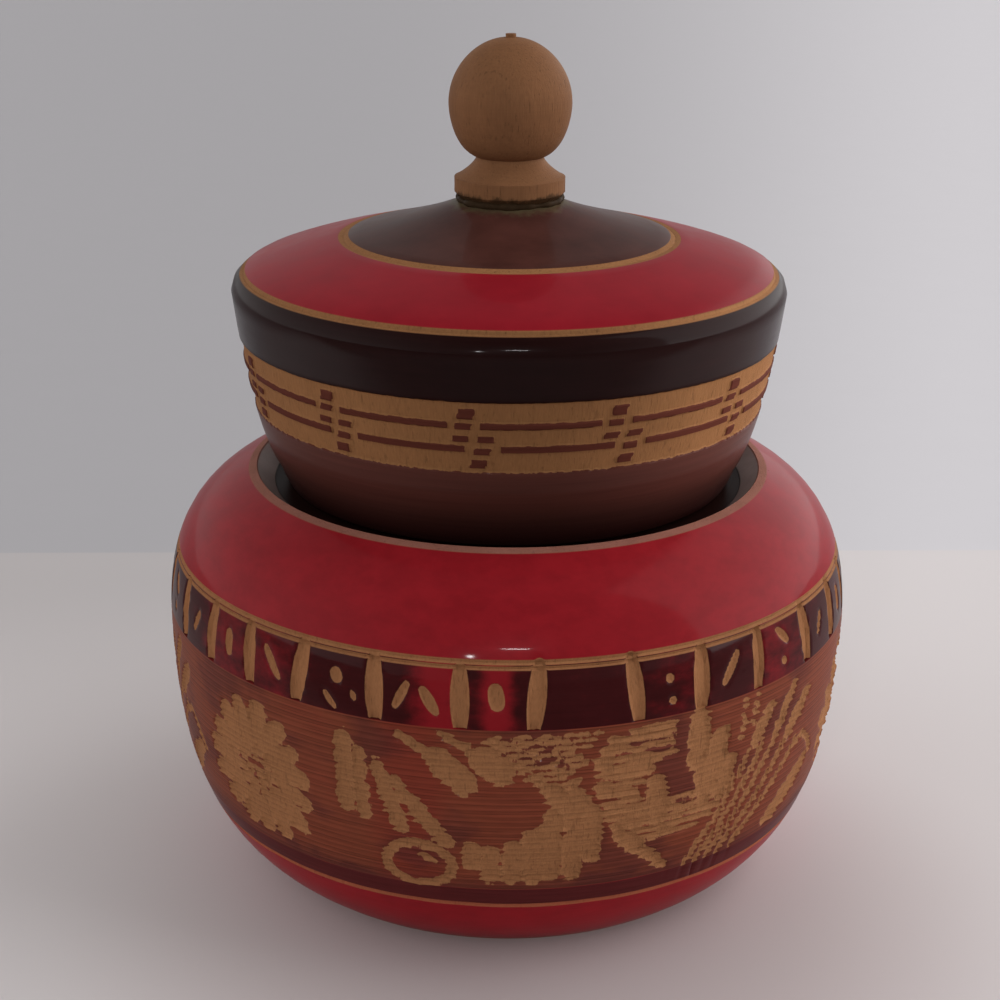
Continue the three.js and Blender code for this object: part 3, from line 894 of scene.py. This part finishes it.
def make_bowl(settings):
    """The bowl, turned, grooved and carved."""
    side_points = curve([(FOOT_RADIUS, 0)], BELLY_RADIUS, BELLY_HEIGHT, FOOT_TO_BELLY_SHARES, 300)
    side_points = curve(side_points, MOUTH_RADIUS, LIP_HEIGHT - LIP_RISE, BELLY_TO_MOUTH_SHARES, 300)
    side = Side(side_points + [(MOUTH_RADIUS - LIP_WIDTH, LIP_HEIGHT)])
    lines = (BASE_LINE, *SHOULDER_LINES)
    grooves = round((GROOVES[1] - GROOVES[0]) / settings.groove_pitch)
    groove_rows = side.run_at(np.linspace(*GROOVES, 2 * grooves + 1))
    notch_rows = np.arange(NOTCH_BAND[0] + NOTCH_ROW, NOTCH_ROWS_END, NOTCH_ROW)
    single_rows = [NOTCH_BAND[0] + 0.12 * MM, MOUTH_LINE, LIP_HEIGHT - LIP_RISE]
    fine = [line_rows(side, *line) for line in lines]
    fine += [groove_rows, side.run_at(np.append(notch_rows, single_rows))]
    runs = side.rows(2.2 * MM, fine)
    in_groove = np.isin(runs, groove_rows[1::2])
    depths = line_depths(side, runs, lines, settings.line_depth) + settings.groove_depth * in_groove
    outside = [tuple(point) for point in side.sunk(runs, depths)]
    outside[-1] = (MOUTH_RADIUS - LIP_WIDTH, LIP_HEIGHT)
    under = [(0, FOOT_RECESS_DEPTH), (FOOT_RECESS_RADIUS / 2, FOOT_RECESS_DEPTH),
             (FOOT_RECESS_RADIUS - FOOT_RECESS_SLOPE, FOOT_RECESS_DEPTH), (FOOT_RECESS_RADIUS, 0)]
    ledge = [(LEDGE_RADIUS, LEDGE_HEIGHT), (BORE_RADIUS, LEDGE_HEIGHT)]
    hollow = curve([(BORE_RADIUS, LEDGE_HEIGHT - BORE_LENGTH)], BELLY_RADIUS - BOWL_WALL, BELLY_HEIGHT,
                   BORE_TO_WALL_SHARES, 7)
    hollow = curve(hollow, BOWL_FLOOR_RADIUS, FOOT_RECESS_DEPTH + BOWL_FLOOR, WALL_TO_FLOOR_SHARES, 11)
    hollow.append((0, FOOT_RECESS_DEPTH + BOWL_FLOOR))
    outline = under + outside + ledge + hollow
    zones = [0] * (len(under) + len(outside)) + [1] * len(ledge) + [2] * len(hollow)
    groove = [0] * len(under) + list(in_groove.astype(float)) + [0] * (len(ledge) + len(hollow))
    material = bowl_finish(settings)
    attributes = {"inside": zones, "groove": groove}
    bowl = turned_piece("bowl_body", outline, settings.columns, attributes, material)
    mesh = bowl.data
    places = points_of(mesh)
    angles = np.degrees(np.arctan2(places[:, 0], -places[:, 1]))
    heights = places[:, 2] / MM
    outer = read_attribute(mesh, "inside") < 0.5
    edges, shares = carve(angles, heights, belly_cuts(), BELLY_SEED)
    edges += tears(angles, heights, settings.groove_pitch / MM / 2, 0.3) * (shares > FINE_SHARE)
    upright, upright_shares = carve(angles, heights, notch_cuts(), NOTCH_SEED)
    split = heights > NOTCH_BAND[0] / MM + 0.1
    edges = np.where(outer, np.where(split, upright, edges), FAR_OUTSIDE)
    depth = np.where(split, settings.notch_depth * upright_shares, settings.carving_depth * shares)
    inside = np.clip(edges / CUT_WALL, 0, 1)
    groove = read_attribute(mesh, "groove")
    write_attribute(mesh, "depth", (depth - 0.6 * settings.groove_depth * groove) * inside)
    write_attribute(mesh, "carved", edges)
    run_tree(bowl, carving_tree(), {"Material": material})
    smooth(bowl, 30)
    settle(bowl, "bowl", "bowl")


def make_lid(settings):
    """The lid, turned, with the floor of its key frieze sunk."""
    side_points = curve([(LID_FOOT_RADIUS - UNDER_EDGE_WIDTH, LID_BASE)], LID_FOOT_RADIUS,
                        LID_BASE + LID_FOOT_RISE, UNDER_EDGE_SHARES, 60)
    side_points = curve(side_points, RIM_RADIUS, RIM_HEIGHT, LID_SIDE_SHARES, 300)
    side_points = curve(side_points, RIM_RADIUS - RIM_ROUND_WIDTH, CROWN_EDGE_HEIGHT, RIM_ROUND_SHARES, 60)
    side_points = curve(side_points, CROWN_END_RADIUS, KNOB_SEAT_HEIGHT, CROWN_SHARES, 200)
    side = Side(side_points)
    crown = side.points[side.points[:, 1] > CROWN_EDGE_HEIGHT][::-1]
    ring = tuple(np.interp(radius, crown[:, 0], crown[:, 1]) for radius in reversed(CROWN_RING))
    lines = (RIM_LINE, ring)
    frieze_rows = side.run_at(np.arange(FRIEZE[0] - 0.66 * MM, FRIEZE[1] + 0.5 * MM, 0.22 * MM))
    runs = side.rows(2 * MM, [line_rows(side, *line) for line in lines] + [frieze_rows])
    outside = [tuple(point) for point in side.sunk(runs, line_depths(side, runs, lines, settings.line_depth))]
    mortise = [(MORTISE_RADIUS, KNOB_SEAT_HEIGHT), (MORTISE_RADIUS, KNOB_SEAT_HEIGHT - MORTISE_DEPTH),
               (0, KNOB_SEAT_HEIGHT - MORTISE_DEPTH)]
    hollow = curve([(0, KNOB_SEAT_HEIGHT - MORTISE_DEPTH - WEB_UNDER_MORTISE)], RIM_RADIUS - LID_WALL,
                   LID_BASE + LID_HOLLOW_HEIGHT, HOLLOW_TOP_SHARES, 12)
    hollow = curve(hollow, SPIGOT_RADIUS - SPIGOT_WALL, LID_LOW.z, HOLLOW_SIDE_SHARES, 8)
    hollow += [(SPIGOT_RADIUS, LID_LOW.z), (SPIGOT_RADIUS, LID_BASE)]
    outline = hollow + outside + mortise
    shown = [0] * len(hollow) + [1] * len(outside) + [0] * len(mortise)
    material = lid_finish(settings)
    lid = turned_piece("lid_body", outline, settings.columns, {"outside": shown}, material)
    middle = side.at(side.run_at(np.array([sum(FRIEZE) / 2])))[0, 0]
    run_tree(lid, key_tree(), {"Hooks": settings.hooks, "Frieze Foot": FRIEZE[0], "Frieze Top": FRIEZE[1],
                               "Radius": float(middle), "Depth": settings.key_depth, "Material": material})
    smooth(lid, 30)
    settle(lid, "lid", "lid")


def make_knob(settings):
    """The knob and the bead of glue squeezed out round its foot."""
    flange_top = KNOB_BASE + FLANGE_BEVEL_RISE + FLANGE_EDGE
    neck_height = flange_top + NECK_RISE
    ball_height = neck_height + BALL_UNDER_RISE
    tenon_radius = MORTISE_RADIUS - GLUE_GAP
    outline = [(0, KNOB_LOW.z), (tenon_radius, KNOB_LOW.z), (tenon_radius, KNOB_BASE),
               (KNOB_FOOT_RADIUS, KNOB_BASE), (FLANGE_RADIUS, KNOB_BASE + FLANGE_BEVEL_RISE),
               (FLANGE_RADIUS, flange_top)]
    outline = curve(outline, NECK_RADIUS, neck_height, FLANGE_TO_NECK_SHARES, 12)
    outline = curve(outline, BALL_RADIUS, ball_height, NECK_TO_BALL_SHARES, 18)
    outline = curve(outline, PIP_RADIUS, KNOB_HIGH.z - PIP_RISE, BALL_TOP_SHARES, 24)
    outline += [(PIP_RADIUS, KNOB_HIGH.z), (0, KNOB_HIGH.z)]
    knob = turned_piece("knob_turning", outline, settings.columns, {}, knob_finish(settings))
    smooth(knob, 30)
    settle(knob, "knob", "lid")
    section = [(GLUE_PLACE[0] + GLUE_SIZE[0] * math.cos(turn), GLUE_PLACE[1] + GLUE_SIZE[1] * math.sin(turn))
               for turn in np.linspace(0, 2 * math.pi, 9)]
    bead = turned_piece("glue_bead", section, settings.columns, {}, glue_finish(settings))
    places = points_of(bead.data)
    turn = np.arctan2(places[:, 1], places[:, 0])
    swell = 0.8 + 0.15 * np.sin(3 * turn + 1) + 0.25 * np.sin(11 * turn) * np.sin(4 * turn + 2)
    radius = np.hypot(places[:, 0], places[:, 1])
    grown = (GLUE_PLACE[0] + (radius - GLUE_PLACE[0]) * swell) / radius
    places[:, :2] *= grown[:, None]
    places[:, 2] = GLUE_PLACE[1] + (places[:, 2] - GLUE_PLACE[1]) * swell
    bead.data.vertices.foreach_set("co", places.astype(np.float32).ravel())
    smooth(bead, 180)
    settle(bead, None, "lid")


FLOOR_END = 137.2 * MM
FLOOR_TURN = math.radians(1.4)
FLOOR_REACH = 1.2
BACKDROP_DROP = 0.3
BACKDROP_REACH = 60
# Painted light on each ground: how light it is on the left near the camera, on the left far from it, and on
# the right
FLOOR_PAINTED_LIGHT = (1.2, 0.8, 1.28)
BACKDROP_PAINTED_LIGHT = (0.84, 0.84, 1.42)
# Left passes into right between these slopes, drawn from so many millimetres in front of the box, and near
# passes into far between these millimetres behind it
SIDES_FROM = 327
SIDE_SLOPES = (-0.27, 0.27)
NEAR_TO_FAR = (-10, 120)
# A painted shadow where the box keeps light off the ground: its place in millimetres, how far round it, how
# much, and in what colour
CONTACT_PLACE = (12, -50)
CONTACT_REACH = (15, 100)
CONTACT_SHADE = 0.38
CONTACT_SHADOW_COLOUR = paint(196, 182, 182)
# Painted shade for the light that the ground gives back: how far in front of the box, and by how much, the
# ground gives back less light than the camera sees there
DIM_REACH = (75, 170)
DIM_SHARE = 0.7
# The strength of the room's light where the camera looks straight at it
SEEN_LIGHT = 0.45
LAMPS = {"streak": ((0.035, -0.713, 0.4), (0.11, 0.006), 0.85),
         "spot": ((-0.15, -0.741, 0.3), (0.022, 0.016), 0.4)}
LAMP_TARGET = Vector((0, 0, 0.06))
# The front edge and the upper edge of the pale wall on the right: a direction, and where along it the wall
# begins and where it is whole
WALL_EDGES = (((0.375, 0.925, -0.06), -0.09, -0.03), ((0.908, -0.174, -0.382), -0.02, 0.06))


def ground_finish(name, colour, power, painted_light):
    """A pale ground with painted light that grows lighter to the right, and a painted shadow where it meets
    the box.
    """
    finish = Finish("Pale " + name)
    cloud = finish.cloudy(0.02, 0.02, 3)
    x, y, _ = finish.place
    near_left, far_left, right = painted_light
    # Painted light across the ground
    side = finish.math("POWER", finish.rise(x / (abs(y) + SIDES_FROM), *SIDE_SLOPES), power)
    left = finish.blend(finish.rise(y, *NEAR_TO_FAR), near_left, far_left)
    # Painted shadow round the box
    across, along = x - CONTACT_PLACE[0], y - CONTACT_PLACE[1]
    contact_shadow = finish.math("SQRT", across * across + along * along)
    contact_shadow = 1 - finish.rise(contact_shadow, *CONTACT_REACH)
    dim = finish.rise(0 - y, *DIM_REACH) * (1 - finish.add("ShaderNodeLightPath", output="Is Camera Ray"))
    strength = finish.blend(side, left, right) * (0.99 + 0.02 * cloud - CONTACT_SHADE * contact_shadow)
    strength = strength * (1 - DIM_SHARE * dim)
    tint = finish.shade(finish.mix(contact_shadow, colour, CONTACT_SHADOW_COLOUR), strength)
    return finish.finish(tint, 0.75 + 0.1 * cloud, 0.02 * cloud)


def add_ground(name, corners, finish):
    mesh = bpy.data.meshes.new(name)
    mesh.from_pydata(corners, [], [(0, 1, 2, 3)])
    mesh.materials.append(finish)
    ground = add_object(name, mesh)


def add_room(settings):
    """The light of the room: plain from the front, more from the sides, most from the wall on the right."""
    world = bpy.data.worlds.new("Room light")
    world.use_nodes = True
    room = Graph(world.node_tree)
    x, y, z = room.axes(room.add("ShaderNodeTexCoord"))
    left, right = room.math("MINIMUM", x, 0), room.math("MAXIMUM", x, 0)
    wall = right
    for facing, edge, end in WALL_EDGES:
        wall = wall * room.rise(facing[0] * x + facing[1] * y + facing[2] * z, edge, end)
    strength = settings.front_light + settings.left_light * left * left + settings.right_light * right * right
    strength = strength + settings.wall_light * wall + settings.back_light * room.rise(y, 0.2, 0.9)
    seen = room.add("ShaderNodeLightPath", output="Is Camera Ray")
    background = world.node_tree.nodes["Background"].inputs
    background["Color"].default_value = (1, 1, 1, 1)
    room.feed(background["Strength"], strength + seen * (SEEN_LIGHT - strength))
    bpy.context.scene.world = world


def make_stage(settings):
    """The floor and what lies beyond it, lamps, the light of the room and the camera."""
    slant = FLOOR_REACH * math.tan(FLOOR_TURN)
    floor = [(-FLOOR_REACH, -FLOOR_REACH, 0), (FLOOR_REACH, -FLOOR_REACH, 0),
             (FLOOR_REACH, FLOOR_END + slant, 0), (-FLOOR_REACH, FLOOR_END - slant, 0)]
    beyond = [(x * BACKDROP_REACH, y * BACKDROP_REACH, -BACKDROP_DROP)
              for x, y in ((-1, -1), (1, -1), (1, 1), (-1, 1))]
    add_ground("floor", floor, ground_finish("floor", settings.floor, 2, FLOOR_PAINTED_LIGHT))
    add_ground("backdrop", beyond, ground_finish("backdrop", settings.backdrop, 3, BACKDROP_PAINTED_LIGHT))
    for name, (place, size, power) in LAMPS.items():
        add_lamp(name, place, size, power)
    add_room(settings)
    add_camera()
    bpy.context.scene.view_settings.view_transform = "Standard"


def add_lamp(name, place, size, power):
    lamp = bpy.data.lights.new(name, "AREA")
    lamp.shape = "RECTANGLE"
    lamp.size, lamp.size_y = size
    lamp.energy = power
    holder = add_object(name, lamp)
    holder.location = place
    holder.rotation_euler = (LAMP_TARGET - Vector(place)).to_track_quat("-Z", "Y").to_euler()


CAMERA_TARGET = Vector((-1.38, 0, 64.7)) * MM
CAMERA_DISTANCE = 347.5 * MM
CAMERA_PITCH = math.radians(20.06)
CAMERA_ROLL = math.radians(0.35)
CAMERA_WIDTH = math.radians(29.94)


def add_camera():
    camera = bpy.data.cameras.new("photograph view")
    camera.angle = CAMERA_WIDTH
    holder = add_object("photograph view", camera)
    back = Vector((0, -math.cos(CAMERA_PITCH), math.sin(CAMERA_PITCH)))
    holder.location = CAMERA_TARGET + back * CAMERA_DISTANCE
    aim = Euler((math.pi / 2 - CAMERA_PITCH, 0, 0)).to_matrix()
    holder.rotation_euler = (aim @ Euler((0, 0, CAMERA_ROLL)).to_matrix()).to_euler()
    bpy.context.scene.camera = holder


class TURNEDBOX_OT_bowl(bpy.types.Operator):
    """Turn, groove and carve the bowl"""
    bl_idname = "turnedbox.bowl"
    bl_label = "Bowl"

    def execute(self, context):
        make_bowl(context.scene.turnedbox_bowl)
        return {"FINISHED"}


class TURNEDBOX_OT_lid(bpy.types.Operator):
    """Turn the lid and sink its key frieze"""
    bl_idname = "turnedbox.lid"
    bl_label = "Lid"

    def execute(self, context):
        make_lid(context.scene.turnedbox_lid)
        return {"FINISHED"}


class TURNEDBOX_OT_knob(bpy.types.Operator):
    """Turn the knob and glue it to the lid"""
    bl_idname = "turnedbox.knob"
    bl_label = "Knob"

    def execute(self, context):
        make_knob(context.scene.turnedbox_knob)
        return {"FINISHED"}


class TURNEDBOX_OT_stage(bpy.types.Operator):
    """Add the floor, the backdrop, the lamps and the camera"""
    bl_idname = "turnedbox.stage"
    bl_label = "Stage"

    def execute(self, context):
        make_stage(context.scene.turnedbox_stage)
        return {"FINISHED"}


class TURNEDBOX_PT_panel(bpy.types.Panel):
    """The pieces of the box and their settings"""
    bl_idname = "TURNEDBOX_PT_panel"
    bl_label = "Turned wooden box"
    bl_space_type = "VIEW_3D"
    bl_region_type = "UI"
    bl_category = "Box"

    def draw(self, context):
        for name, (group, operator) in PIECES.items():
            box = self.layout.box()
            settings = getattr(context.scene, name)
            for key in group.__annotations__:
                box.prop(settings, key)
            box.operator(operator.bl_idname)


PIECES = {
    "turnedbox_bowl": (BowlSettings, TURNEDBOX_OT_bowl),
    "turnedbox_lid": (LidSettings, TURNEDBOX_OT_lid),
    "turnedbox_knob": (KnobSettings, TURNEDBOX_OT_knob),
    "turnedbox_stage": (StageSettings, TURNEDBOX_OT_stage),
}
CLASSES = [kind for pair in PIECES.values() for kind in pair] + [TURNEDBOX_PT_panel]


def register():
    for kind in CLASSES:
        bpy.utils.register_class(kind)
    for name, (group, _) in PIECES.items():
        setattr(bpy.types.Scene, name, PointerProperty(type=group))


def unregister():
    for name in PIECES:
        delattr(bpy.types.Scene, name)
    for kind in reversed(CLASSES):
        bpy.utils.unregister_class(kind)


def main():
    register()
    bpy.ops.turnedbox.bowl()
    bpy.ops.turnedbox.lid()
    bpy.ops.turnedbox.knob()
    bpy.ops.turnedbox.stage()


if __name__ == "__main__":
    main()
